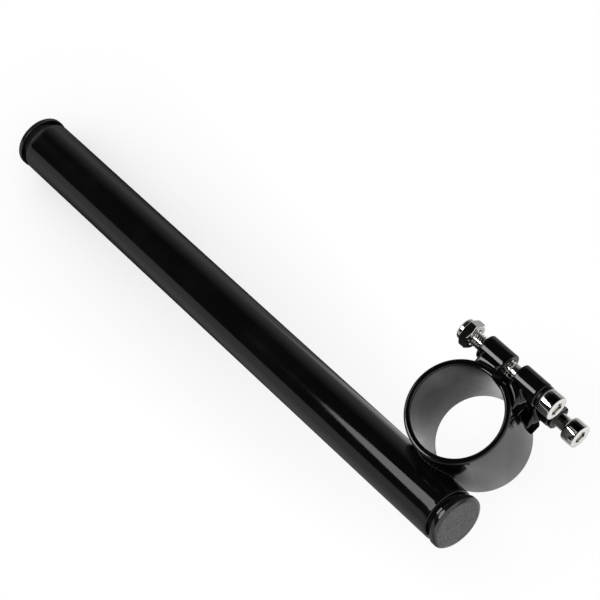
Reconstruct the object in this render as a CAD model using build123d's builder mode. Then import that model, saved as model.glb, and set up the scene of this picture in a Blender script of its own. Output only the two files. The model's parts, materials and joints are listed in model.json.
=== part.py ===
"""Clip-on handlebar: a bar welded to a split ring that pinches a motorcycle's fork leg.

Millimetres. The origin is the middle of the fork bore and +Z runs up the fork leg.
The bar passes the ring on its -Y side: its inner end points to +X and its grip end to -X.
The ring is split on its +Y side and closed by two screws that run along X.
"""
import os
from math import asin, cos, degrees, radians, sin, sqrt, tan

from build123d import *

# Bar
bar_diameter = 22.2
bar_wall = 2.4
bar_length = 264.0
bar_inner_reach = 19.2
bar_drop_degrees = 10.0

# End caps
cap_flange_diameter = 22.8
cap_flange_thickness = 3.0
cap_neck_diameter = 20.8
cap_neck_length = 2.4
cap_plug_length = 14.0
cap_plug_clearance = 0.1

# Clamp ring
fork_diameter = 35.0
ring_wall = 2.5
ring_width = 40.0
ring_chamfer = 0.6
cope_depth = 1.7
split_gap = 5.2
split_offset = 3.0
split_chamfer = 0.4

# Lugs beside the split
lug_diameter = 10.4
nut_lug_length = 12.4
head_lug_length = 11.8
lug_spacing = 25.4
lug_chamfer = 0.5
foot_width = 8.0
nut_foot_root_length = 9.0
head_foot_root_length = 6.6
foot_top_margin = 0.8
foot_end_round = 2.0

# Screws, nuts and washers
screw_diameter = 6.0
screw_length = 40.0
screw_end_chamfer = 0.7
screw_hole_clearance = 0.3
head_diameter = 10.0
head_height = 6.0
head_chamfer = 0.5
socket_flats = 5.0
socket_depth = 3.0
nut_flats = 10.0
nut_hex_height = 4.0
nut_collar_diameter = 8.8
nut_collar_height = 2.0
nut_collar_chamfer = 0.7
nut_chamfer_degrees = 30.0
nut_thread_clearance = 0.05
nut_overhang = 2.2
washer_diameter = 9.9
washer_thickness = 1.6
washer_bore_clearance = 0.15
washer_split = 0.8

# Welds
saddle_weld_leg = 1.8
lug_weld_width = 4.2
lug_weld_height = 1.5
lug_weld_end_margin = 0.6

# Sizes that follow
bar_radius = bar_diameter / 2
bar_bore_radius = bar_radius - bar_wall
fork_radius = fork_diameter / 2
ring_radius = fork_radius + ring_wall
bar_to_fork = ring_radius + bar_radius - cope_depth
lug_axis_height = ring_radius + lug_diameter / 2
screw_radius = screw_diameter / 2
nut_height = nut_hex_height + nut_collar_height
drop = radians(bar_drop_degrees)
levels = {"upper": lug_spacing / 2, "lower": -lug_spacing / 2}
sides = {"nut": -1, "head": 1}
lug_lengths = {-1: nut_lug_length, 1: head_lug_length}
foot_root_lengths = {-1: nut_foot_root_length, 1: head_foot_root_length}

# The bar's own plane: its normal runs along the bar towards the inner end, from the point beside the fork.
bar_plane = Plane(origin=(0, -bar_to_fork, 0), x_dir=(0, 1, 0), z_dir=(cos(drop), 0, sin(drop)))


def split_face(side):
    """X of the split's face on one side."""
    return split_offset + side * split_gap / 2


def lug_end(side):
    """X of a lug's free end, where a nut or a washer seats."""
    return split_face(side) + side * lug_lengths[side]


def screw_plane(x, level):
    """Plane across a screw's axis at x, with its normal along +X."""
    return Plane(origin=(x, lug_axis_height, levels[level]), x_dir=(0, 1, 0), z_dir=(1, 0, 0))


def save(piece, name):
    """Label a finished piece and write it."""
    piece.part.label = name
    export_step(piece.part, f"parts/{name}.step")


def build_bar():
    """Tube with a saddle cut for the ring."""
    with BuildPart() as bar:
        with BuildSketch(bar_plane.offset(bar_inner_reach - bar_length)):
            Circle(bar_radius)
            Circle(bar_bore_radius, mode=Mode.SUBTRACT)
        extrude(amount=bar_length)
        Cylinder(ring_radius, ring_width, mode=Mode.SUBTRACT)
    return bar


def build_cap(end_plane):
    """Plug with a neck and a flange; the plane lies on the bar's end with its normal pointing out."""
    with BuildPart() as cap:
        with BuildSketch(end_plane):
            Circle(cap_neck_diameter / 2)
        extrude(amount=cap_neck_length)
        with BuildSketch(end_plane.offset(cap_neck_length)):
            Circle(cap_flange_diameter / 2)
        extrude(amount=cap_flange_thickness)
        with BuildSketch(end_plane):
            Circle(bar_bore_radius - cap_plug_clearance)
        extrude(amount=-cap_plug_length)
    return cap


def build_ring():
    """Sleeve with a lead-in at each end of its bore, split along its length."""
    with BuildPart() as ring:
        with BuildSketch(Plane.XY.offset(-ring_width / 2)):
            Circle(ring_radius)
            Circle(fork_radius, mode=Mode.SUBTRACT)
        extrude(amount=ring_width)
        bore_rims = ring.edges().filter_by(GeomType.CIRCLE).group_by(SortBy.RADIUS)[0]
        chamfer(bore_rims, length=ring_chamfer)
        with Locations((split_offset, 0, 0)):
            Box(
                split_gap,
                ring_radius,
                ring_width,
                align=(Align.CENTER, Align.MIN, Align.CENTER),
                mode=Mode.SUBTRACT,
            )
        lips = ring.edges().filter_by(Axis.Z).sort_by(Axis.Y)[-2:]
        chamfer(lips, length=split_chamfer)
    return ring


def build_lug(side, level):
    """Round boss on a foot that is cut to the ring and ends flush with the split."""
    face = split_face(side)
    height = levels[level]
    root = face + side * foot_root_lengths[side]
    root_height = sqrt(ring_radius**2 - root**2)
    with BuildPart() as lug:
        with BuildSketch(Plane.XY.offset(height - foot_width / 2)):
            with BuildLine():
                Polyline(
                    (face, root_height),
                    (face, lug_axis_height),
                    (lug_end(side) - side * foot_top_margin, lug_axis_height),
                    (root, root_height),
                    close=True,
                )
            make_face()
        extrude(amount=foot_width)
        foot_end = lug.faces().sort_by(Axis.X)[-1 if side > 0 else 0]
        fillet(foot_end.edges().filter_by(Axis.Z, reverse=True), radius=foot_end_round)
        Cylinder(ring_radius, ring_width, mode=Mode.SUBTRACT)
        with BuildSketch(screw_plane(face, level)):
            Circle(lug_diameter / 2)
        extrude(amount=side * lug_lengths[side])
        free_end = lug.faces().sort_by(Axis.X)[-1 if side > 0 else 0]
        chamfer(free_end.edges(), length=lug_chamfer)
        with Locations(screw_plane(face, level)):
            Hole(screw_radius + screw_hole_clearance)
    return lug


def build_lug_weld(side, level, toward):
    """Humped bead along one side of a lug's foot, between the ring and the boss."""
    face = split_face(side)
    near = asin((face + side * lug_weld_end_margin) / ring_radius)
    far = asin((face + side * (foot_root_lengths[side] - foot_end_round)) / ring_radius)
    start = max(near, far)
    foot_side = levels[level] + toward * foot_width / 2
    across = Plane(
        origin=(0, 0, foot_side),
        x_dir=(sin(start), cos(start), 0),
        z_dir=(cos(start), -sin(start), 0),
    )
    shoulder = toward * lug_weld_height / 2
    with BuildPart() as bead:
        with BuildSketch(across):
            with BuildLine():
                Polyline(
                    (ring_radius, 0),
                    (ring_radius, shoulder),
                    (ring_radius + lug_weld_width / 3, toward * lug_weld_height),
                    (ring_radius + lug_weld_width * 2 / 3, toward * lug_weld_height),
                    (ring_radius + lug_weld_width, shoulder),
                    (ring_radius + lug_weld_width, 0),
                    close=True,
                )
            make_face()
        revolve(axis=Axis.Z, revolution_arc=degrees(abs(near - far)))
        with BuildSketch(screw_plane(face, level)):
            Circle(lug_diameter / 2)
        extrude(amount=side * lug_lengths[side], mode=Mode.SUBTRACT)
    return bead


def build_saddle_weld():
    """Bead all round the saddle: what lies within one leg of both the ring and the bar."""
    with BuildPart() as bead:
        Cylinder(ring_radius + saddle_weld_leg, ring_width)
        with BuildSketch(bar_plane.offset(-ring_width)):
            Circle(bar_radius + saddle_weld_leg)
        extrude(amount=2 * ring_width, mode=Mode.INTERSECT)
        Cylinder(ring_radius, ring_width, mode=Mode.SUBTRACT)
        with BuildSketch(bar_plane.offset(-ring_width)):
            Circle(bar_radius)
        extrude(amount=2 * ring_width, mode=Mode.SUBTRACT)
    return bead


def build_screw(head_seat, level):
    """Socket-head cap screw whose head bears at head_seat."""
    with BuildPart() as screw:
        with BuildSketch(screw_plane(head_seat, level)):
            Circle(head_diameter / 2)
        extrude(amount=head_height)
        crown = screw.edges().filter_by(GeomType.CIRCLE).sort_by(Axis.X)[-1]
        chamfer(crown, length=head_chamfer)
        with BuildSketch(screw_plane(head_seat + head_height, level)):
            RegularPolygon(socket_flats / 2, side_count=6, major_radius=False)
        extrude(amount=-socket_depth, mode=Mode.SUBTRACT)
        with BuildSketch(screw_plane(head_seat, level)):
            Circle(screw_radius)
        extrude(amount=-screw_length)
        tip = screw.edges().filter_by(GeomType.CIRCLE).sort_by(Axis.X)[0]
        chamfer(tip, length=screw_end_chamfer)
    return screw


def build_nut(outer_face, level):
    """Hex lock nut from outer_face towards the lug, with a round locking collar at that face."""
    corner_radius = nut_flats / sqrt(3)
    collar_radius = nut_collar_diameter / 2
    corner_drop = (corner_radius - nut_flats / 2) * tan(radians(nut_chamfer_degrees))
    with BuildPart() as nut:
        with BuildSketch(screw_plane(outer_face, level)):
            RegularPolygon(nut_flats / 2, side_count=6, major_radius=False)
        extrude(amount=nut_height)
        turning = Plane(origin=screw_plane(outer_face, level).origin, x_dir=(1, 0, 0), z_dir=(0, 0, 1))
        with BuildSketch(turning):
            with BuildLine():
                Polyline(
                    (0, 0),
                    (0, collar_radius - nut_collar_chamfer),
                    (nut_collar_chamfer, collar_radius),
                    (nut_collar_height, collar_radius),
                    (nut_collar_height, nut_flats / 2),
                    (nut_collar_height + corner_drop, corner_radius),
                    (nut_height, corner_radius),
                    (nut_height, 0),
                    close=True,
                )
            make_face()
        revolve(axis=Axis(turning.origin, (1, 0, 0)), mode=Mode.INTERSECT)
        with Locations(screw_plane(outer_face, level)):
            Hole(screw_radius + nut_thread_clearance)
    return nut


def build_washer(level):
    """Split spring washer on the head lug's free end."""
    with BuildPart() as washer:
        with BuildSketch(screw_plane(lug_end(sides["head"]), level)):
            Circle(washer_diameter / 2)
            Circle(screw_radius + washer_bore_clearance, mode=Mode.SUBTRACT)
            with Locations((washer_diameter / 2, 0)):
                Rectangle(washer_diameter, washer_split, mode=Mode.SUBTRACT)
        extrude(amount=washer_thickness)
    return washer


os.makedirs("parts", exist_ok=True)

inner_end = bar_plane.offset(bar_inner_reach)
outer_end = bar_plane.offset(bar_inner_reach - bar_length)
outer_end = Plane(origin=outer_end.origin, x_dir=outer_end.x_dir, z_dir=-outer_end.z_dir)
save(build_bar(), "bar_tube")
save(build_cap(inner_end), "inner_end_cap")
save(build_cap(outer_end), "outer_end_cap")
save(build_ring(), "clamp_ring")
save(build_saddle_weld(), "saddle_weld")

# The upper screw is pushed home: its head bears on the washer. The lower one is drawn back until its nut
# bears on the lug. Both nuts sit on the last threads, with the screw's end just short of the collar.
head_seats = {
    "upper": lug_end(sides["head"]) + washer_thickness,
    "lower": lug_end(sides["nut"]) - nut_height + nut_overhang + screw_length,
}
for level, head_seat in head_seats.items():
    save(build_screw(head_seat, level), f"{level}_pinch_screw")
    save(build_nut(head_seat - screw_length - nut_overhang, level), f"{level}_nut")
    save(build_washer(level), f"{level}_lock_washer")
    for side_name, side in sides.items():
        save(build_lug(side, level), f"{level}_{side_name}_lug")
        for face_name, toward in (("top", 1), ("bottom", -1)):
            save(build_lug_weld(side, level, toward), f"{level}_{side_name}_lug_{face_name}_weld")
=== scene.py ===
# %% [markdown]
# # A clip-on handlebar, dressed for the studio
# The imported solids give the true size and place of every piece. This lesson measures them, builds a finer
# mesh for each piece, and gives the meshes their finishes: gloss black enamel, satin black plastic, bright
# plating and blackened spring steel. It ends with a small studio: a white floor, pale cards, two soft boxes and
# a camera.

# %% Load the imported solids
import json
import math

import bmesh
import bpy
import numpy as np
from mathutils import Matrix, Vector

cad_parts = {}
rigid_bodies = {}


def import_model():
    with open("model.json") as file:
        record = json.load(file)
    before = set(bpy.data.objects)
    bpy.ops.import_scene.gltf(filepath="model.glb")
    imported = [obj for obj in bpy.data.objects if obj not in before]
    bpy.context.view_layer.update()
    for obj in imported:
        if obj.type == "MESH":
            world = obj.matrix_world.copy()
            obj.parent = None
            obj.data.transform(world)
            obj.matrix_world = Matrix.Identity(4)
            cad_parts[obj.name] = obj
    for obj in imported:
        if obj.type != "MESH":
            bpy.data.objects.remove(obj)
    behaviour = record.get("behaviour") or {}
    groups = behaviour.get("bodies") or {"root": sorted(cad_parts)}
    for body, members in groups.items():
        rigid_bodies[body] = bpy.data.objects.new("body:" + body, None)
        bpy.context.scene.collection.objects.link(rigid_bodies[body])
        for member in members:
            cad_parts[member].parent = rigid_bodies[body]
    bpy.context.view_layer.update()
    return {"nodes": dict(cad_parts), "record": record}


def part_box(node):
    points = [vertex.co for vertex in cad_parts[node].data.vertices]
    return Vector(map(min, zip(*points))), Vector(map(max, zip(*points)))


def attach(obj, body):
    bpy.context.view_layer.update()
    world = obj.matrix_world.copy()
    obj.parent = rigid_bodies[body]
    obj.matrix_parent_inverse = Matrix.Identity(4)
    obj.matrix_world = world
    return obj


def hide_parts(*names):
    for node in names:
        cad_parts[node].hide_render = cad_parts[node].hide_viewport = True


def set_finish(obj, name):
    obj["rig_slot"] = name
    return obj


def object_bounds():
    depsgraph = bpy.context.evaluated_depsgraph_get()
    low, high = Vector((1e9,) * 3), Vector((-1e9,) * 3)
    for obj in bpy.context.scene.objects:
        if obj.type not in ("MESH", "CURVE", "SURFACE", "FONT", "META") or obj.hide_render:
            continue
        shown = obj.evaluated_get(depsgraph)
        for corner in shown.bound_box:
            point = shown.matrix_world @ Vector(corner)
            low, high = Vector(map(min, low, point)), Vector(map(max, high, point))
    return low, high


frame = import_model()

nodes = frame["nodes"]
mm = 0.001
print("solids:", len(nodes))

# %% [markdown]
# ## Measuring the solids
# A turned piece needs an axis, and along it a start, an end and a radius. Most of these are read from a node's
# own points or from the record. Sizes that these don't give plainly, such as the screws' and nuts' standard
# sizes, the caps' necks, and the rounds, slopes and welds, are written where they are used. They have to be
# changed there too if the solids change.


# %% Measures along and around an axis
def points_of(node):
    """A node's points, in metres."""
    return np.array([v.co for v in nodes[node].data.vertices])


def span(node, origin, axis):
    """Where a node starts and ends along an axis."""
    along = (points_of(node) - np.array(origin)) @ np.array(axis)
    return float(along.min()), float(along.max())


def reach(node, origin, axis):
    """How far a node reaches out from an axis."""
    offset = points_of(node) - np.array(origin)
    flat = offset - np.outer(offset @ np.array(axis), np.array(axis))
    return float(np.linalg.norm(flat, axis=1).max())


def bore(node, origin, axis):
    """How near a node comes to an axis: the radius of its hole."""
    offset = points_of(node) - np.array(origin)
    flat = offset - np.outer(offset @ np.array(axis), np.array(axis))
    return float(np.linalg.norm(flat, axis=1).min())


def middle(node):
    """The middle of a node's box."""
    low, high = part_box(node)
    return (low + high) / 2


mounts = {mount["name"]: mount for mount in frame["record"]["mounts"]}
fork_radius = mounts["fork_clamp"]["dims"]["r_mm"] * mm
ring_low, ring_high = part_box("clamp_ring")
ring_radius = ring_high.x
bar_axis = -Vector(mounts["grip_seat"]["axis"]).normalized()
bar_origin = Vector((0, middle("bar_tube").y, 0))
bar_radius = mounts["grip_seat"]["dims"]["r_mm"] * mm
bar_start, bar_end = span("bar_tube", bar_origin, bar_axis)
print(f"ring {ring_radius / mm:.1f} over a {fork_radius / mm:.1f} mm bore")
print(f"bar {(bar_end - bar_start) / mm:.0f} mm long")

# %% [markdown]
# ## Mesh helpers
# Most pieces are either turned or swept. A turned piece is a stack of rings, one for each point of its
# outline. A swept piece is the same section repeated along a path. Both become a grid of quads, so one
# function can close the grid into a mesh, shade it smooth and keep its true corners sharp. Two more helpers
# cut or join meshes, and put a finished piece in place of its solid.

# %% From grids of points to pieces
sharp_corner = math.radians(32)
turn_steps = 144


def add_piece(name, points, faces, corner=sharp_corner):
    """A mesh object with smooth faces and sharp edges at its true corners."""
    mesh = bpy.data.meshes.new(name)
    mesh.from_pydata([tuple(p) for p in points], [], faces)
    mesh.validate()
    work = bmesh.new()
    work.from_mesh(mesh)
    bmesh.ops.recalc_face_normals(work, faces=work.faces)
    work.to_mesh(mesh)
    work.free()
    mesh.polygons.foreach_set("use_smooth", [True] * len(mesh.polygons))
    mesh.set_sharp_from_angle(angle=corner)
    piece = bpy.data.objects.new(name, mesh)
    bpy.context.scene.collection.objects.link(piece)
    return piece


def grid_faces(rows, columns, loop=False):
    """Quads between the rows of a grid, whose rows are closed; loop joins the last row to the first."""
    faces = []
    for row in range(rows if loop else rows - 1):
        above = (row + 1) % rows
        for column in range(columns):
            beside = (column + 1) % columns
            faces.append((row * columns + column, row * columns + beside,
                          above * columns + beside, above * columns + column))
    return faces


def turned(name, outline, origin, axis, steps=turn_steps, loop=False, corner=sharp_corner):
    """Turn an outline of (radius, height) points about an axis. Either may be a function of the angle."""
    axis = Vector(axis).normalized()
    side = axis.cross(Vector((0, 0, 1)))
    if side.length < 0.5:
        side = axis.cross(Vector((0, 1, 0)))
    side.normalize()
    up = axis.cross(side)
    points = []
    for radius, height in outline:
        for step in range(steps):
            angle = math.tau * step / steps
            r = radius(angle) if callable(radius) else radius
            h = height(angle) if callable(height) else height
            points.append(Vector(origin) + axis * h + (side * math.cos(angle) + up * math.sin(angle)) * r)
    faces = grid_faces(len(outline), steps, loop=loop)
    if not loop:
        last = (len(outline) - 1) * steps
        faces.append(tuple(reversed(range(steps))))
        faces.append(tuple(range(last, last + steps)))
    return add_piece(name, points, faces, corner)


def rounded(corner, before, after, radius, count=5):
    """Points of a round that replaces a square corner, between the directions before and after."""
    corner, before, after = Vector(corner), Vector(before).normalized(), Vector(after).normalized()
    centre = corner - before * radius + after * radius
    turn = [math.radians(90) * k / (count - 1) for k in range(count)]
    return [tuple(centre - after * radius * math.cos(a) + before * radius * math.sin(a)) for a in turn]


def finish_piece(piece, node, slot):
    """Stand a finished piece in for its solid."""
    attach(piece, "root")
    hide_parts(node)
    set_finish(piece, slot)
    print(piece.name, len(piece.data.polygons), "faces")
    return piece


def combine(piece, other, operation):
    """Cut one closed mesh out of another, or join it on, for good. The other mesh is thrown away."""
    change = piece.modifiers.new("combine", "BOOLEAN")
    change.operation = operation
    change.solver = "EXACT"
    change.object = other
    seen = piece.evaluated_get(bpy.context.evaluated_depsgraph_get())
    mesh = bpy.data.meshes.new_from_object(seen)
    piece.modifiers.clear()
    piece.data = mesh
    bpy.data.objects.remove(other)
    mesh.set_sharp_from_angle(angle=sharp_corner)


# %% [markdown]
# ## The bar
# A plain drawn tube, cut square, its end edges rounded by deburring and paint. The ring sits in a shallow
# saddle in its side. The tube is turned with many rings along its length, so that the saddle's cut stays
# local and long reflections run straight.

# %% Bar
bar_bore_radius = bore("bar_tube", bar_origin, bar_axis)
end_round = 0.6 * mm
bar_rings = 120
cutter_steps = 192
run_start, run_end = bar_start + end_round, bar_end - end_round
outline = [(bar_bore_radius, bar_start)]
outline += rounded((bar_radius, bar_start), (1, 0), (0, 1), end_round)
outline += [(bar_radius, run_start + (run_end - run_start) * k / bar_rings) for k in range(1, bar_rings)]
outline += rounded((bar_radius, bar_end), (0, 1), (-1, 0), end_round)
outline += [(bar_bore_radius, bar_end)]
bar = turned("bar", outline, bar_origin, bar_axis, loop=True)
ring_outside = [(ring_radius, ring_low.z), (ring_radius, ring_high.z)]
saddle_cutter = turned("saddle_cutter", ring_outside, (0, 0, 0), (0, 0, 1), cutter_steps)
combine(bar, saddle_cutter, "DIFFERENCE")
finish_piece(bar, "bar_tube", "gloss_black")

# %% [markdown]
# ## End caps
# A moulded plug with a narrow neck next to the bar and a flange a little wider than the bar. The flange has a
# smooth sloping edge round a grained end face, and it is the smooth part that catches the light.

# %% Caps
neck_radius = 9.2 * mm
neck_length = 2.75 * mm
plug_clearance = 0.1 * mm
edge_in = 1.3 * mm
edge_back = 0.75 * mm
edge_blend = 0.25 * mm
back_round = 0.15 * mm
cap_corner = math.radians(40)
centre_share = 0.3
cap_face_rings = (0.7, 0.5, 0.2)


def blended(before, corner, after, length, count=5):
    """Points of a soft bend at a corner of an outline, length being how far it reaches along each side."""
    before, corner, after = Vector(before), Vector(corner), Vector(after)
    start = corner + (before - corner).normalized() * length
    end = corner + (after - corner).normalized() * length
    shares = [k / (count - 1) for k in range(count)]
    return [tuple(start * (1 - t) ** 2 + corner * 2 * t * (1 - t) + end * t ** 2) for t in shares]


def build_cap(node, seat, outward):
    """A cap whose neck starts at the bar's end."""
    flange_radius = reach(node, bar_origin, bar_axis)
    inside, face = sorted(abs(h - seat) for h in span(node, bar_origin, bar_axis))[::-1]
    start = bar_origin + bar_axis * seat
    plug = bar_bore_radius - plug_clearance
    shape = [(centre_share * plug, -inside), (plug, -inside), (plug, 0), (neck_radius, 0)]
    shape += [(neck_radius, neck_length)]
    shape += rounded((flange_radius, neck_length), (1, 0), (0, 1), back_round)
    back, shoulder = (flange_radius, neck_length), (flange_radius, face - edge_back)
    rim, centre = (flange_radius - edge_in, face), (0, face)
    shape += blended(back, shoulder, rim, edge_blend)
    shape += blended(shoulder, rim, centre, edge_blend)
    shape += [(flange_radius * share, face) for share in cap_face_rings]
    return turned(node.replace("_end_cap", "_cap"), shape, start, bar_axis * outward, corner=cap_corner)


finish_piece(build_cap("inner_end_cap", bar_end, 1), "inner_end_cap", "black_plastic")
finish_piece(build_cap("outer_end_cap", bar_start, -1), "outer_end_cap", "black_plastic")

# %% [markdown]
# ## The clamp ring
# A length of thick sleeve, slit along one side. Its two lips are flat and parallel, so a section near the
# slit isn't radial: each point of the section stops where its own radius meets the lip's plane.

# %% Ring
split_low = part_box("upper_nut_lug")[1].x
split_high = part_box("upper_head_lug")[0].x
rim_round = 0.8 * mm
section = []
section += rounded((fork_radius, ring_low.z), (-1, 0), (0, 1), rim_round)
section += rounded((fork_radius, ring_high.z), (0, 1), (1, 0), rim_round)
section += rounded((ring_radius, ring_high.z), (1, 0), (0, -1), rim_round)
section += rounded((ring_radius, ring_low.z), (0, -1), (-1, 0), rim_round)
ring_steps = 200
points = []
for step in range(ring_steps + 1):
    for radius, height in section:
        first = math.acos(split_high / radius) + math.tau
        last = math.acos(split_low / radius)
        angle = last + (first - last) * step / ring_steps
        points.append((radius * math.cos(angle), radius * math.sin(angle), height))
faces = grid_faces(ring_steps + 1, len(section))
faces.append(tuple(range(len(section))))
faces.append(tuple(len(points) - len(section) + k for k in reversed(range(len(section)))))
ring = add_piece("ring", points, faces)
finish_piece(ring, "clamp_ring", "gloss_black")

# %% [markdown]
# ## Lugs
# Each lug is a drilled round boss on a short foot. The foot is shaped to the ring, leans out towards the
# boss's free end and slopes away there. The boss is turned, the foot is a prism with two edges bevelled, and
# exact boolean steps join them, fit them to the ring and drill them.

# %% Lugs
lug_round = 0.7 * mm
lug_face_round = 0.3 * mm
foot_top_margin = 0.8 * mm
foot_end_slope = 3.6 * mm
foot_end_segments = 4
foot_end_profile = 0.28
boss_steps = 96
boss_rings = 8
drill_steps = 64
levels = ("upper", "lower")
sides = {"nut": -1, "head": 1}


def screw_line(level):
    """A point on a screw's axis, in the middle of the split."""
    at = middle(f"{level}_pinch_screw")
    return Vector(((split_low + split_high) / 2, at.y, at.z))


def build_foot(sketch, foot_low, foot_high):
    """A prism over a four-sided sketch; its end slopes away above and below."""
    work = bmesh.new()
    corners = [[work.verts.new((x, y, z)) for x, y in sketch] for z in (foot_low, foot_high)]
    work.faces.new(corners[0][::-1])
    work.faces.new(corners[1])
    for k in range(4):
        after = (k + 1) % 4
        work.faces.new((corners[0][k], corners[0][after], corners[1][after], corners[1][k]))
    end_edges = [work.edges.get((row[2], row[3])) for row in corners]
    bmesh.ops.bevel(work, geom=end_edges, offset=foot_end_slope, segments=foot_end_segments,
                    profile=foot_end_profile, affect="EDGES")
    bmesh.ops.recalc_face_normals(work, faces=work.faces)
    mesh = bpy.data.meshes.new("foot")
    work.to_mesh(mesh)
    work.free()
    mesh.polygons.foreach_set("use_smooth", [True] * len(mesh.polygons))
    foot = bpy.data.objects.new("foot", mesh)
    bpy.context.scene.collection.objects.link(foot)
    return foot


def build_lug(level, side_name):
    """Boss and foot, fitted to the ring and drilled."""
    node = f"{level}_{side_name}_lug"
    side = sides[side_name]
    low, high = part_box(node)
    line = screw_line(level)
    face = split_high if side > 0 else split_low
    length = high.x - low.x
    boss_radius = (high.z - low.z) / 2
    foot_low, foot_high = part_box(f"{node}_bottom_weld")[1].z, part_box(f"{node}_top_weld")[0].z
    root = min(points_of(node), key=lambda p: p[1])
    boss_shape = [(boss_radius * centre_share, 0)]
    boss_shape += rounded((boss_radius, 0), (1, 0), (0, 1), lug_face_round)
    boss_shape += [(boss_radius, length * k / boss_rings) for k in range(1, boss_rings)]
    boss_shape += rounded((boss_radius, length), (0, 1), (-1, 0), lug_round)
    boss_shape += [(boss_radius * centre_share, length)]
    start = (face, line.y, line.z)
    lug = turned(f"{level}_{side_name}_boss", boss_shape, start, (side, 0, 0), boss_steps)
    top = face + side * (length - foot_top_margin)
    sketch = [(face, root[1]), (face, line.y), (top, line.y), (root[0], root[1])]
    combine(lug, build_foot(sketch, foot_low, foot_high), "UNION")
    fitting = turned("fitting", ring_outside, (0, 0, 0), (0, 0, 1), cutter_steps)
    combine(lug, fitting, "DIFFERENCE")
    hole_radius = bore(node, line, (1, 0, 0))
    drill_shape = [(hole_radius, -length), (hole_radius, 2 * length)]
    drill = turned("drill", drill_shape, start, (side, 0, 0), drill_steps)
    combine(lug, drill, "DIFFERENCE")
    return finish_piece(lug, node, "gloss_black")


for level in levels:
    for side_name in sides:
        build_lug(level, side_name)

# %% [markdown]
# ## Welds
# A bead is a section repeated along a path. Beside a lug it is a broad smooth hump between the ring and the
# boss. In the saddle it is a convex fillet between its two toes, laid as a row of overlapping puddles, so its
# height swells and sinks along the run.

# %% Bead along a path
ripple_pitch = 1.7 * mm
ripple_sharpness = 0.6
bead_corner = math.radians(60)
section_steps = 9


def add_bead(name, path, ripple, closed):
    """Lay a bead. The path gives, for each step, the point that the section swells from, and the section."""
    travelled = 0.0
    points = []
    for k, (root, section) in enumerate(path):
        if k:
            travelled += (root - path[k - 1][0]).length
        swell = 1 - ripple * (1 - math.sin(math.pi * ((travelled / ripple_pitch) % 1.0)) ** ripple_sharpness)
        points += [root + (point - root) * swell for point in section]
    count, columns = len(path), len(path[0][1])
    faces = grid_faces(count, columns, loop=closed)
    if not closed:
        faces.append(tuple(reversed(range(columns))))
        faces.append(tuple(range((count - 1) * columns, count * columns)))
    return add_piece(name, points, faces, bead_corner)


# %% Lug welds
hump_shoulder = 0.45
hump_run_on = 1.6 * mm
hump_end = 1.4 * mm
hump_least = 0.02
hump_ripple = 0.0
hump_steps = 60
crest_reach = {"nut": 1.4 * mm, "head": 2.1 * mm}
toe_reach = 2.1 * mm
sunk = 0.15 * mm


def build_lug_weld(level, side_name, place):
    """Hump along one side of a lug's foot, from the ring to the boss."""
    node = f"{level}_{side_name}_lug_{place}_weld"
    low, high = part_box(node)
    side = sides[side_name]
    toward = 1 if place == "top" else -1
    base = low.z if toward > 0 else high.z
    height = high.z - low.z
    near, far = (low.x, high.x + hump_run_on) if side > 0 else (high.x, low.x - hump_run_on)
    path = []
    for step in range(hump_steps + 1):
        share = step / hump_steps
        x = near + (far - near) * share
        ring_y = math.sqrt(ring_radius ** 2 - x ** 2)
        crest_y = ring_radius + crest_reach["nut"] if side < 0 else ring_y + crest_reach["head"]
        from_end = min(share, 1 - share) * abs(far - near)
        fade = math.sqrt(max(1 - (1 - min(from_end / hump_end, 1.0)) ** 2, hump_least))
        section = [Vector((x, ring_y - sunk, base - toward * sunk))]
        for k in range(-section_steps, section_steps + 1):
            lean = k / section_steps
            y = crest_y + (crest_y - ring_y if lean < 0 else toe_reach) * lean
            rise = height * fade * (1 - (1 - hump_shoulder) * lean ** 2)
            section.append(Vector((x, y, base + toward * rise)))
        section.append(Vector((x, crest_y + toe_reach, base - toward * sunk)))
        path.append((Vector((x, crest_y, base)), section))
    bead = add_bead(node.replace("_lug_", "_"), path, hump_ripple, False)
    return finish_piece(bead, node, "gloss_black")


for level in levels:
    for side_name in sides:
        for place in ("top", "bottom"):
            build_lug_weld(level, side_name, place)

# %% Saddle weld
saddle_leg = 1.8 * mm
saddle_crown = 0.80
saddle_ripple = 0.16
saddle_steps = 420
deepest = math.acos((-ring_radius - bar_origin.y) / bar_radius)
across = Vector((0, 1, 0))
over = bar_axis.cross(across)
loop_points = []
for step in range(saddle_steps):
    turn = math.tau * step / saddle_steps
    lean = deepest * math.sin(turn)
    out = across * math.cos(lean) + over * math.sin(lean)
    y = bar_origin.y + bar_radius * out.y
    x = math.copysign(math.sqrt(max(ring_radius ** 2 - y ** 2, 0.0)), math.cos(turn))
    along = (x - bar_radius * out.x) / bar_axis.x
    loop_points.append((bar_origin + bar_axis * along + out * bar_radius, out))
path = []
for step, (place, bar_out) in enumerate(loop_points):
    travel = (loop_points[(step + 1) % saddle_steps][0] - loop_points[step - 1][0]).normalized()
    ring_out = Vector((place.x, place.y, 0)).normalized()
    on_ring, on_bar = ring_out.cross(travel), bar_out.cross(travel)
    on_ring *= math.copysign(1, on_ring.dot(bar_out))
    on_bar *= math.copysign(1, on_bar.dot(ring_out))
    start, end = place + on_ring * saddle_leg, place + on_bar * saddle_leg
    crown = place + (on_ring + on_bar) * saddle_crown * saddle_leg
    shares = [k / (section_steps - 1) for k in range(section_steps)]
    section = [start * (1 - t) ** 2 + crown * 2 * t * (1 - t) + end * t ** 2 for t in shares]
    section.append(place - (on_ring + on_bar) * sunk)
    path.append((place, section))
finish_piece(add_bead("saddle_bead", path, saddle_ripple, True), "saddle_weld", "gloss_black")

# %% [markdown]
# ## Screws
# A socket-head cap screw: a smooth bright head with a hex socket, and a rolled thread. One stack of rings
# makes it all. The socket and the thread are only radii that change with the angle.

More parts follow.
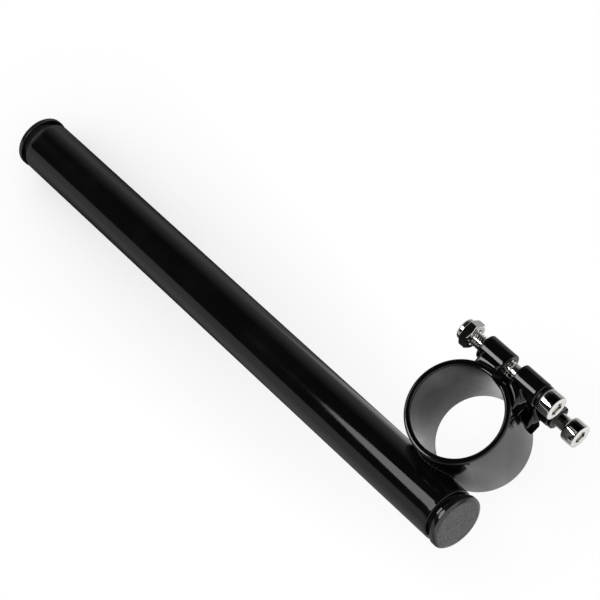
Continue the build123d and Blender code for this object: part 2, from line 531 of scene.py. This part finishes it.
# %% Screws
screw_radius = 3.0 * mm
screw_length = 40.0 * mm
head_height = 6.0 * mm
head_round = 0.45 * mm
socket_flats = 5.0 * mm
socket_depth = 3.0 * mm
thread_pitch = 1.0 * mm
thread_depth = 0.6 * mm
thread_length = 24.0 * mm
thread_run_in = 1.5
crest_half, flank_share = 0.07, 0.34
rings_per_pitch = 9
tip = 0.8 * mm
tip_centre = 0.5 * mm
head_rings = (0.85, 0.5, 0.15)
plain_rings = 6
mouth_depth = 0.3 * mm
mouth_widening = 0.5 * mm
head_flat = 1.2 * mm
# In each pair, the first number steps in or out from a radius, and the second up or down from a height.
socket_floor = ((0.4 * mm, 0.5 * mm), (1.6 * mm, 0.25 * mm))
head_edge = ((1.0 * mm, 0), (head_round, 0.08 * mm), (head_round * 0.3, head_round * 0.5), (0.02 * mm, head_round))
bearing_edge = ((0.05 * mm, 0.35 * mm), (0.3 * mm, 0))
under_head = ((0.4 * mm, 0), (0.1 * mm, -0.15 * mm), (0, -0.5 * mm))


def hex_radius(flats):
    """Radius of a hexagon at each angle, with a corner at angle 0."""
    def radius(angle):
        return flats / 2 / math.cos(angle % (math.pi / 3) - math.pi / 6)
    return radius


def threaded(height, depth):
    """Radius of a thread at one height: flat crests and roots with straight flanks between."""
    def at(angle):
        phase = (height / thread_pitch - angle / math.tau) % 1.0
        flank = min(max((abs(phase - 0.5) - crest_half) / flank_share, 0.0), 1.0)
        return screw_radius - depth * flank
    return at


def build_screw(level):
    """A screw along +X, with its head's bearing face at height zero."""
    node = f"{level}_pinch_screw"
    line = screw_line(level)
    head_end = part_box(node)[1].x
    seat = head_end - head_height
    head_radius = reach(node, line, (1, 0, 0))
    socket = hex_radius(socket_flats)
    shape = [(r, head_height - socket_depth - h) for r, h in socket_floor]
    shape += [(socket, head_height - socket_depth), (socket, head_height - mouth_depth)]
    shape += [(hex_radius(socket_flats + mouth_widening), head_height), (head_radius - head_flat, head_height)]
    shape += [(head_radius - r, head_height - h) for r, h in head_edge]
    shape += [(head_radius, head_height * share) for share in head_rings]
    shape += [(head_radius - r, h) for r, h in bearing_edge]
    shape += [(screw_radius + r, h) for r, h in under_head]
    plain_length = screw_length - thread_length
    shape += [(screw_radius, -plain_length * k / plain_rings) for k in range(1, plain_rings + 1)]
    rings = int(thread_length / thread_pitch * rings_per_pitch)
    for k in range(1, rings):
        height = -plain_length - thread_length * k / rings
        run_in = min(1.0, k / (thread_run_in * rings_per_pitch))
        left = screw_length + height
        at = threaded(height, thread_depth * run_in)
        if left < tip:
            limit = screw_radius - (tip - left)
            shape += [((lambda a, at=at, limit=limit: min(at(a), limit)), height)]
        else:
            shape += [(at, height)]
    shape += [(screw_radius - tip, -screw_length), (tip_centre, -screw_length)]
    screw = turned(f"{level}_screw", shape, (seat, line.y, line.z), (1, 0, 0))
    return finish_piece(screw, node, "bright_plate")


for level in levels:
    build_screw(level)

# %% [markdown]
# ## Nuts and washers
# A lock nut is a hexagon with a round collar at its outer end, rolled in over a plastic ring that grips the
# thread. The hexagon's corners are turned off by a cone, which leaves the curved edge that each flat shows.
# A spring washer is a coil of one turn: its two ends stand a little apart.

# %% Nuts
nut_flats = 10.0 * mm
nut_cone = math.tan(math.radians(30))
nut_mouth = 0.4 * mm
collar_radius = 4.4 * mm
collar_height = 2.0 * mm
collar_round = 0.9 * mm
collar_points = 8
flat_rings = (0.35, 0.5, 0.65)
grip_radius = 3.4 * mm
grip_bore = 2.75 * mm
grip_start, grip_end = 0.35 * mm, 1.8 * mm
grip_steps = 96
lip = 0.1 * mm
lip_depth = 0.15 * mm
face_margin = 0.25 * mm
cone_start = 0.12 * mm
corner_soft = 0.10 * mm
corner_soft_drop = 0.06 * mm
nut_corner = math.radians(20)


def build_nut(level):
    """Hex lock nut along +X from its outer face, and the ring that its collar holds."""
    node = f"{level}_nut"
    low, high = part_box(node)
    line = screw_line(level)
    height = high.x - low.x
    corner = hex_radius(nut_flats)
    hole = bore(node, line, (1, 0, 0))

    def drop(angle):
        return (corner(angle) - nut_flats / 2) * nut_cone + cone_start

    shape = [(hole, collar_height), (grip_radius, collar_height), (grip_radius, lip_depth)]
    shape += [(grip_radius + lip, 0)]
    shape += rounded((collar_radius, 0), (1, 0), (0, 1), collar_round, collar_points)
    shape += [(collar_radius, collar_height - lip), (collar_radius + lip, collar_height)]
    shape += [(nut_flats / 2 - face_margin, collar_height)]
    shape += [(lambda a: corner(a) - corner_soft, lambda a: collar_height + drop(a) - corner_soft_drop)]
    shape += [(corner, lambda a: collar_height + drop(a) + corner_soft)]
    shape += [(corner, collar_height + (height - collar_height) * share) for share in flat_rings]
    shape += [(corner, lambda a: height - drop(a) - corner_soft)]
    shape += [(lambda a: corner(a) - corner_soft, lambda a: height - drop(a) + corner_soft_drop)]
    shape += [(nut_flats / 2 - face_margin, height), (hole + nut_mouth, height), (hole, height - nut_mouth)]
    start = (low.x, line.y, line.z)
    nut = turned(f"{level}_lock_nut", shape, start, (1, 0, 0), loop=True, corner=nut_corner)
    finish_piece(nut, node, "bright_plate")
    grip_shape = [(grip_bore, grip_start), (grip_radius, grip_start), (grip_radius, grip_end), (grip_bore, grip_end)]
    grip = turned(f"{level}_grip_ring", grip_shape, start, (1, 0, 0), grip_steps, loop=True)
    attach(grip, "root")
    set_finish(grip, "black_plastic")
    print(grip.name, len(grip.data.polygons), "faces")


# %% Spring washers
washer_split = 0.8 * mm
washer_round = 0.25 * mm
washer_twist = 0.25 * mm
washer_steps = 90
wire_points = 4


def build_washer(level):
    """One turn of square spring wire, cut and sprung a little."""
    node = f"{level}_lock_washer"
    low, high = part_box(node)
    line = screw_line(level)
    outer = (high.z - low.z) / 2
    thick = high.x - low.x
    half = thick / 2 - washer_twist / 2
    hole = bore(node, line, (1, 0, 0))
    section = rounded((hole, -half), (-1, 0), (0, 1), washer_round, wire_points)
    section += rounded((hole, half), (0, 1), (1, 0), washer_round, wire_points)
    section += rounded((outer, half), (1, 0), (0, -1), washer_round, wire_points)
    section += rounded((outer, -half), (0, -1), (-1, 0), washer_round, wire_points)
    gap = washer_split / outer
    points = []
    for step in range(washer_steps + 1):
        angle = gap / 2 + (math.tau - gap) * step / washer_steps
        lift = washer_twist * (step / washer_steps - 0.5)
        for radius, height in section:
            points.append((low.x + thick / 2 + height + lift,
                           line.y + radius * math.cos(angle), line.z + radius * math.sin(angle)))
    faces = grid_faces(washer_steps + 1, len(section))
    faces.append(tuple(reversed(range(len(section)))))
    faces.append(tuple(range(washer_steps * len(section), (washer_steps + 1) * len(section))))
    return finish_piece(add_piece(f"{level}_spring_washer", points, faces), node, "dark_steel")


for level in levels:
    build_nut(level)
    build_washer(level)

# %% [markdown]
# ## Shared surface effects
# Two effects are used by more than one finish, so each is a node group. "Fine grain" is a bump height from
# two noises. "Handling" is a soft mask of smudges and dust that changes how sharply a surface reflects.


# %% Node helpers
def new_group(name, inputs, outputs):
    """An empty shader node group with its sockets."""
    group = bpy.data.node_groups.new(name, "ShaderNodeTree")
    for socket, value in inputs.items():
        made = group.interface.new_socket(socket, in_out="INPUT", socket_type="NodeSocketFloat")
        made.default_value = value
    for socket in outputs:
        group.interface.new_socket(socket, in_out="OUTPUT", socket_type="NodeSocketFloat")
    return group, group.nodes.new("NodeGroupInput"), group.nodes.new("NodeGroupOutput")


def noise(tree, scale, detail, coordinate):
    """A noise texture in object space; scale is repeats for each metre."""
    node = tree.nodes.new("ShaderNodeTexNoise")
    node.inputs["Detail"].default_value = detail
    if isinstance(scale, (int, float)):
        node.inputs["Scale"].default_value = scale
    else:
        tree.links.new(scale, node.inputs["Scale"])
    tree.links.new(coordinate, node.inputs["Vector"])
    return node.outputs["Fac"]


def maths(tree, operation, first, second=0.0):
    """One maths node; each input is a number or a socket. Some operations use only the first."""
    node = tree.nodes.new("ShaderNodeMath")
    node.operation = operation
    for socket, value in zip(node.inputs, (first, second)):
        if isinstance(value, (int, float)):
            socket.default_value = value
        else:
            tree.links.new(value, socket)
    return node.outputs[0]


def ramp(tree, value, low, high, out_low, out_high):
    """Map a range of a value onto another range, clamped."""
    node = tree.nodes.new("ShaderNodeMapRange")
    tree.links.new(value, node.inputs["Value"])
    for socket, number in (("From Min", low), ("From Max", high), ("To Min", out_low), ("To Max", out_high)):
        node.inputs[socket].default_value = number
    return node.outputs["Result"]


def reach_along(tree, value, way):
    """How far a vector reaches along one way."""
    node = tree.nodes.new("ShaderNodeVectorMath")
    node.operation = "DOT_PRODUCT"
    tree.links.new(value, node.inputs[0])
    node.inputs[1].default_value = way
    return node.outputs["Value"]


# %% Node groups
grain_detail = 2.0
finer_scale = 3.1
finer_share = 0.4
grain, grain_in, grain_out = new_group("fine grain", {"Scale": 1000.0}, ["Height"])
where = grain.nodes.new("ShaderNodeTexCoord").outputs["Object"]
coarse = noise(grain, grain_in.outputs["Scale"], grain_detail, where)
finer = noise(grain, maths(grain, "MULTIPLY", grain_in.outputs["Scale"], finer_scale), grain_detail, where)
both = maths(grain, "ADD", coarse, maths(grain, "MULTIPLY", finer, finer_share))
grain.links.new(both, grain_out.inputs["Height"])

smear_detail = 5.0
speck_scale = 45.0
speck_detail = 1.0
smudge_range = (0.45, 0.75)
dust_range = (0.72, 0.78)
handling, handling_in, handling_out = new_group("handling", {"Scale": 60.0}, ["Smudge", "Dust"])
where = handling.nodes.new("ShaderNodeTexCoord").outputs["Object"]
smear = noise(handling, handling_in.outputs["Scale"], smear_detail, where)
fine = maths(handling, "MULTIPLY", handling_in.outputs["Scale"], speck_scale)
specks = noise(handling, fine, speck_detail, where)
handling.links.new(ramp(handling, smear, *smudge_range, 0.0, 1.0), handling_out.inputs["Smudge"])
handling.links.new(ramp(handling, specks, *dust_range, 0.0, 1.0), handling_out.inputs["Dust"])
print("groups:", grain.name, handling.name)

# %% [markdown]
# ## Finishes
# Each finish keeps its own Principled shader. What is the same all over is set on the shader's socket, and
# the groups feed only what changes over the surface: colour, roughness and the bump.


# %% A finish from its numbers
smudge_share = 0.6
# Painted sheen on the plastic's grained end faces: a paler colour, strongest on the grain's tops and weakest in its
# hollows.
face_tilt = (0.97, 0.995)
face_tops = (0.5, 0.9)
face_hollow = 0.2
face_rough = 0.35
painted_face_sheen = (0.09, 0.09, 0.094)


def new_finish(name, dark, light, rough, rough_change, grain_scale, grain_depth, handling_scale, dust,
               grained_way=None, **constant):
    """A material that varies over the surface. With a way, the grain, more roughness and a painted sheen keep to end
    faces that look outward.
    """
    material = bpy.data.materials.new(name)
    material.use_nodes = True
    tree = material.node_tree
    shader = tree.nodes["Principled BSDF"]
    for socket, value in constant.items():
        shader.inputs[socket.replace("_", " ")].default_value = value
    marks = tree.nodes.new("ShaderNodeGroup")
    marks.node_tree = handling
    marks.inputs["Scale"].default_value = handling_scale
    texture = tree.nodes.new("ShaderNodeGroup")
    texture.node_tree = grain
    texture.inputs["Scale"].default_value = grain_scale
    tint = tree.nodes.new("ShaderNodeMix")
    tint.data_type = "RGBA"
    tint.inputs["A"].default_value = (*dark, 1)
    tint.inputs["B"].default_value = (*light, 1)
    spread = maths(tree, "ADD", maths(tree, "MULTIPLY", marks.outputs["Smudge"], smudge_share),
                   maths(tree, "MULTIPLY", marks.outputs["Dust"], dust))
    tree.links.new(maths(tree, "MINIMUM", spread, 1.0), tint.inputs["Factor"])
    colour = tint.outputs["Result"]
    roughness = ramp(tree, spread, 0.0, 1.0, rough, rough + rough_change)
    bump = tree.nodes.new("ShaderNodeBump")
    bump.inputs["Distance"].default_value = grain_depth
    height = texture.outputs["Height"]
    if grained_way:
        place = tree.nodes.new("ShaderNodeTexCoord").outputs
        end = maths(tree, "SIGN", reach_along(tree, place["Object"], grained_way))
        facing = maths(tree, "MULTIPLY", reach_along(tree, place["Normal"], grained_way), end)
        flat_face = ramp(tree, facing, *face_tilt, 0.0, 1.0)
        # Painted sheen: outward end faces get a paler colour, most on the grain's tops and least in its hollows.
        pale = tree.nodes.new("ShaderNodeMix")
        pale.data_type = "RGBA"
        tops = ramp(tree, height, *face_tops, face_hollow, 1.0)
        tree.links.new(maths(tree, "MULTIPLY", flat_face, tops), pale.inputs["Factor"])
        tree.links.new(colour, pale.inputs["A"])
        pale.inputs["B"].default_value = (*painted_face_sheen, 1)
        colour = pale.outputs["Result"]
        height = maths(tree, "MULTIPLY", height, flat_face)
        roughness = maths(tree, "ADD", roughness, maths(tree, "MULTIPLY", flat_face, face_rough))
    tree.links.new(colour, shader.inputs["Base Color"])
    tree.links.new(roughness, shader.inputs["Roughness"])
    tree.links.new(height, bump.inputs["Height"])
    tree.links.new(bump.outputs["Normal"], shader.inputs["Normal"])
    return material


finishes = {
    "gloss_black": new_finish(
        "gloss_black_enamel", dark=(0.003, 0.003, 0.003), light=(0.007, 0.007, 0.007), rough=0.06,
        rough_change=0.10, grain_scale=700.0, grain_depth=0.004 * mm, handling_scale=55.0, dust=0.5, IOR=1.5),
    "black_plastic": new_finish(
        "satin_black_plastic", dark=(0.006, 0.006, 0.0065), light=(0.020, 0.020, 0.021), rough=0.08,
        rough_change=0.12, grain_scale=800.0, grain_depth=0.5 * mm, handling_scale=90.0, dust=1.0,
        grained_way=tuple(bar_axis), IOR=1.5, Specular_IOR_Level=0.8),
    "bright_plate": new_finish(
        "bright_plating", dark=(0.80, 0.79, 0.77), light=(0.60, 0.58, 0.52), rough=0.05,
        rough_change=0.10, grain_scale=1500.0, grain_depth=0.001 * mm, handling_scale=120.0, dust=0.0, Metallic=1.0),
    "dark_steel": new_finish(
        "blackened_spring_steel", dark=(0.03, 0.03, 0.032), light=(0.07, 0.068, 0.064), rough=0.32,
        rough_change=0.15, grain_scale=1800.0, grain_depth=0.01 * mm, handling_scale=150.0, dust=0.5, Metallic=1.0),
}
for piece in list(bpy.context.scene.objects):
    if piece.type == "MESH" and "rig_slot" in piece:
        piece.data.materials.clear()
        piece.data.materials.append(finishes[piece["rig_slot"]])
print("finishes:", len(finishes))

# %% [markdown]
# ## The studio
# The floor is white to the camera, with a painted soft shade where the part is near. In reflections it is graded by
# place with painted light and shade: a painted shadow along the bar, and painted full white in a slanted patch
# beside the ring. These grades, the cards and the two soft boxes were set by comparing tones with one photo, so
# they suit that view best. The room overhead is dark, so gloss black reads as black, and pale cards round it draw
# the broad soft reflections.

# %% Floor
floor_size = 8.0
floor_gap = 0.2 * mm
floor_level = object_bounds()[0][2] - floor_gap
bpy.ops.mesh.primitive_plane_add(size=floor_size, location=(0, 0, floor_level))
floor = bpy.context.object
floor.name = "floor"
print(f"floor at {floor_level / mm:.1f} mm")

# %% White paper
# Painted contact shadow: how much the camera's white drops near the part, and how far and how sharply that painted
# shade reaches.
shade_to_camera = 0.4
# Painted reflections: the floor's white is held back along the bar as a painted shadow, and shown in full in a
# painted slanted patch beside the ring.
grey_to_mirrors = (0.0, 0.22)
grey_reach = (0.03, 0.10)
white_side = (-0.06, -0.03)
white_slant = 1.5
white_end = (0.06, 0.12)
contact_reach = 0.05
contact_depth = 8.0
paper_white = 0.36
paper = bpy.data.materials.new("white_paper")
paper.use_nodes = True
tree = paper.node_tree
tree.nodes.clear()
seen_by = tree.nodes.new("ShaderNodeLightPath").outputs
mirrors = maths(tree, "MAXIMUM", seen_by["Is Glossy Ray"], seen_by["Is Transmission Ray"])
spot = tree.nodes.new("ShaderNodeSeparateXYZ")
tree.links.new(tree.nodes.new("ShaderNodeNewGeometry").outputs["Position"], spot.inputs["Vector"])
# Painted contact shadow: an occlusion test darkens the paper's colour near the part, and also its white, both to the
# camera and in reflections.
near_part = tree.nodes.new("ShaderNodeAmbientOcclusion")
near_part.inputs["Distance"].default_value = contact_reach
open_floor = maths(tree, "POWER", near_part.outputs["AO"], contact_depth)
paper_with_painted_shade = tree.nodes.new("ShaderNodeCombineColor")
for channel in ("Red", "Green", "Blue"):
    tree.links.new(maths(tree, "MULTIPLY", open_floor, paper_white), paper_with_painted_shade.inputs[channel])
# Painted shadow in reflections: near the bar the floor shows none of its white, farther off only a little.
from_bar = maths(tree, "ABSOLUTE", maths(tree, "SUBTRACT", spot.outputs["Y"], bar_origin.y))
painted_dimming = maths(tree, "SUBTRACT", 1.0, ramp(tree, from_bar, *grey_reach, *grey_to_mirrors))
# Painted light in reflections: a slanted patch beside the ring shows the full white.
slanted = maths(tree, "ADD", spot.outputs["X"], maths(tree, "MULTIPLY", spot.outputs["Y"], white_slant))
painted_light_patch = maths(tree, "MULTIPLY", ramp(tree, slanted, *white_side, 0.0, 1.0),
                ramp(tree, spot.outputs["Y"], *white_end, 1.0, 0.0))
painted_dimming = maths(tree, "MULTIPLY", painted_dimming, maths(tree, "SUBTRACT", 1.0, painted_light_patch))
glowing = maths(tree, "MULTIPLY", maths(tree, "SUBTRACT", 1.0, painted_dimming), open_floor)
# Painted shade that the camera sees: the floor's white is held back near the part.
shade = maths(tree, "MULTIPLY", maths(tree, "SUBTRACT", 1.0, near_part.outputs["AO"]), shade_to_camera)
to_camera = maths(tree, "MULTIPLY", seen_by["Is Camera Ray"], maths(tree, "SUBTRACT", 1.0, shade))
shows = maths(tree, "ADD", to_camera, maths(tree, "MULTIPLY", mirrors, glowing))
white = tree.nodes.new("ShaderNodeEmission")
matt = tree.nodes.new("ShaderNodeBsdfDiffuse")
tree.links.new(paper_with_painted_shade.outputs["Color"], matt.inputs["Color"])
blend = tree.nodes.new("ShaderNodeMixShader")
tree.links.new(shows, blend.inputs["Fac"])
tree.links.new(matt.outputs[0], blend.inputs[1])
tree.links.new(white.outputs[0], blend.inputs[2])
surface = tree.nodes.new("ShaderNodeOutputMaterial")
tree.links.new(blend.outputs[0], surface.inputs["Surface"])
floor.data.materials.append(paper)
print("paper:", paper.name)

# %% Room
room_dark = 0.02
card_bright = 0.48
card_top = 0.31
card_fade = 0.06
glow_bright = 0.34
glow_top = 0.50
glow_side = (-0.46, -0.36)
glow_rest = 0.06
far_side_blend = (-0.1, 0.1)
end_card_bright = 0.6
end_card_side = (-0.86, -0.78)
back_card_bright = 1.0
back_card_side = (0.2, 0.6)
room = bpy.data.worlds.new("room")
bpy.context.scene.world = room
room.use_nodes = True
tree = room.node_tree
direction = tree.nodes.new("ShaderNodeSeparateXYZ")
tree.links.new(tree.nodes.new("ShaderNodeTexCoord").outputs["Generated"], direction.inputs["Vector"])
card = ramp(tree, direction.outputs["Z"], card_top, card_top + card_fade, card_bright, room_dark)
glow = maths(tree, "MULTIPLY", ramp(tree, direction.outputs["Z"], 0.0, glow_top, glow_bright, room_dark),
             ramp(tree, direction.outputs["X"], *glow_side, 1.0, glow_rest))
far_side = ramp(tree, direction.outputs["Y"], *far_side_blend, 0.0, 1.0)
light = maths(tree, "ADD", maths(tree, "MULTIPLY", card, maths(tree, "SUBTRACT", 1.0, far_side)),
              maths(tree, "MULTIPLY", glow, far_side))
end_card = ramp(tree, direction.outputs["X"], *end_card_side, end_card_bright, 0.0)
back_card = ramp(tree, direction.outputs["X"], *back_card_side, 0.0, back_card_bright)
light = maths(tree, "MAXIMUM", maths(tree, "MAXIMUM", light, end_card), back_card)
tree.nodes["Background"].inputs["Color"].default_value = (1, 1, 1, 1)
tree.links.new(light, tree.nodes["Background"].inputs["Strength"])
print("room ready")


# %% Lamps
def add_lamp(name, place, half_size, radiance):
    """An oval lamp that faces down. Its power follows from the brightness that a mirror would show."""
    lamp = bpy.data.lights.new(name, "AREA")
    lamp.shape = "ELLIPSE"
    lamp.size, lamp.size_y = (2 * half for half in half_size)
    lamp.energy = radiance * math.pi * math.pi * half_size[0] * half_size[1]
    holder = bpy.data.objects.new(name, lamp)
    bpy.context.scene.collection.objects.link(holder)
    holder.location = place


add_lamp("broad_soft_box", place=(-0.61, -0.285, 0.80), half_size=(0.205, 0.32), radiance=3.0)
add_lamp("small_soft_box", place=(-0.37, -0.30, 0.80), half_size=(0.14, 0.24), radiance=7.5)
print("lamps ready")

# %% [markdown]
# ## The camera
# The picture is a long-lens view from above the inner end. The place, aim and roll below come from matching
# the outlines of the bar, the ring and the caps, with the bore, the ring's width and the bar's drop assumed.

# %% Camera
picture_pixels = 600
focal_pixels = 2524.33
sensor_width = 36.0
camera_place = Vector((0.32793, -0.04707, 0.87253))
camera_aim = Vector((-0.09703, -0.00628, -0.02420))
camera_roll = math.radians(-41.71)
lens = bpy.data.cameras.new("camera")
lens.sensor_width = sensor_width
lens.lens = focal_pixels * sensor_width / picture_pixels
camera = bpy.data.objects.new("camera", lens)
bpy.context.scene.collection.objects.link(camera)
facing = (camera_aim - camera_place).to_track_quat("-Z", "Y").to_matrix().to_4x4()
camera.matrix_world = Matrix.Translation(camera_place) @ facing @ Matrix.Rotation(camera_roll, 4, "Z")
bpy.context.scene.camera = camera
bpy.context.scene.view_settings.view_transform = "Standard"
print(f"lens {lens.lens:.1f} mm")
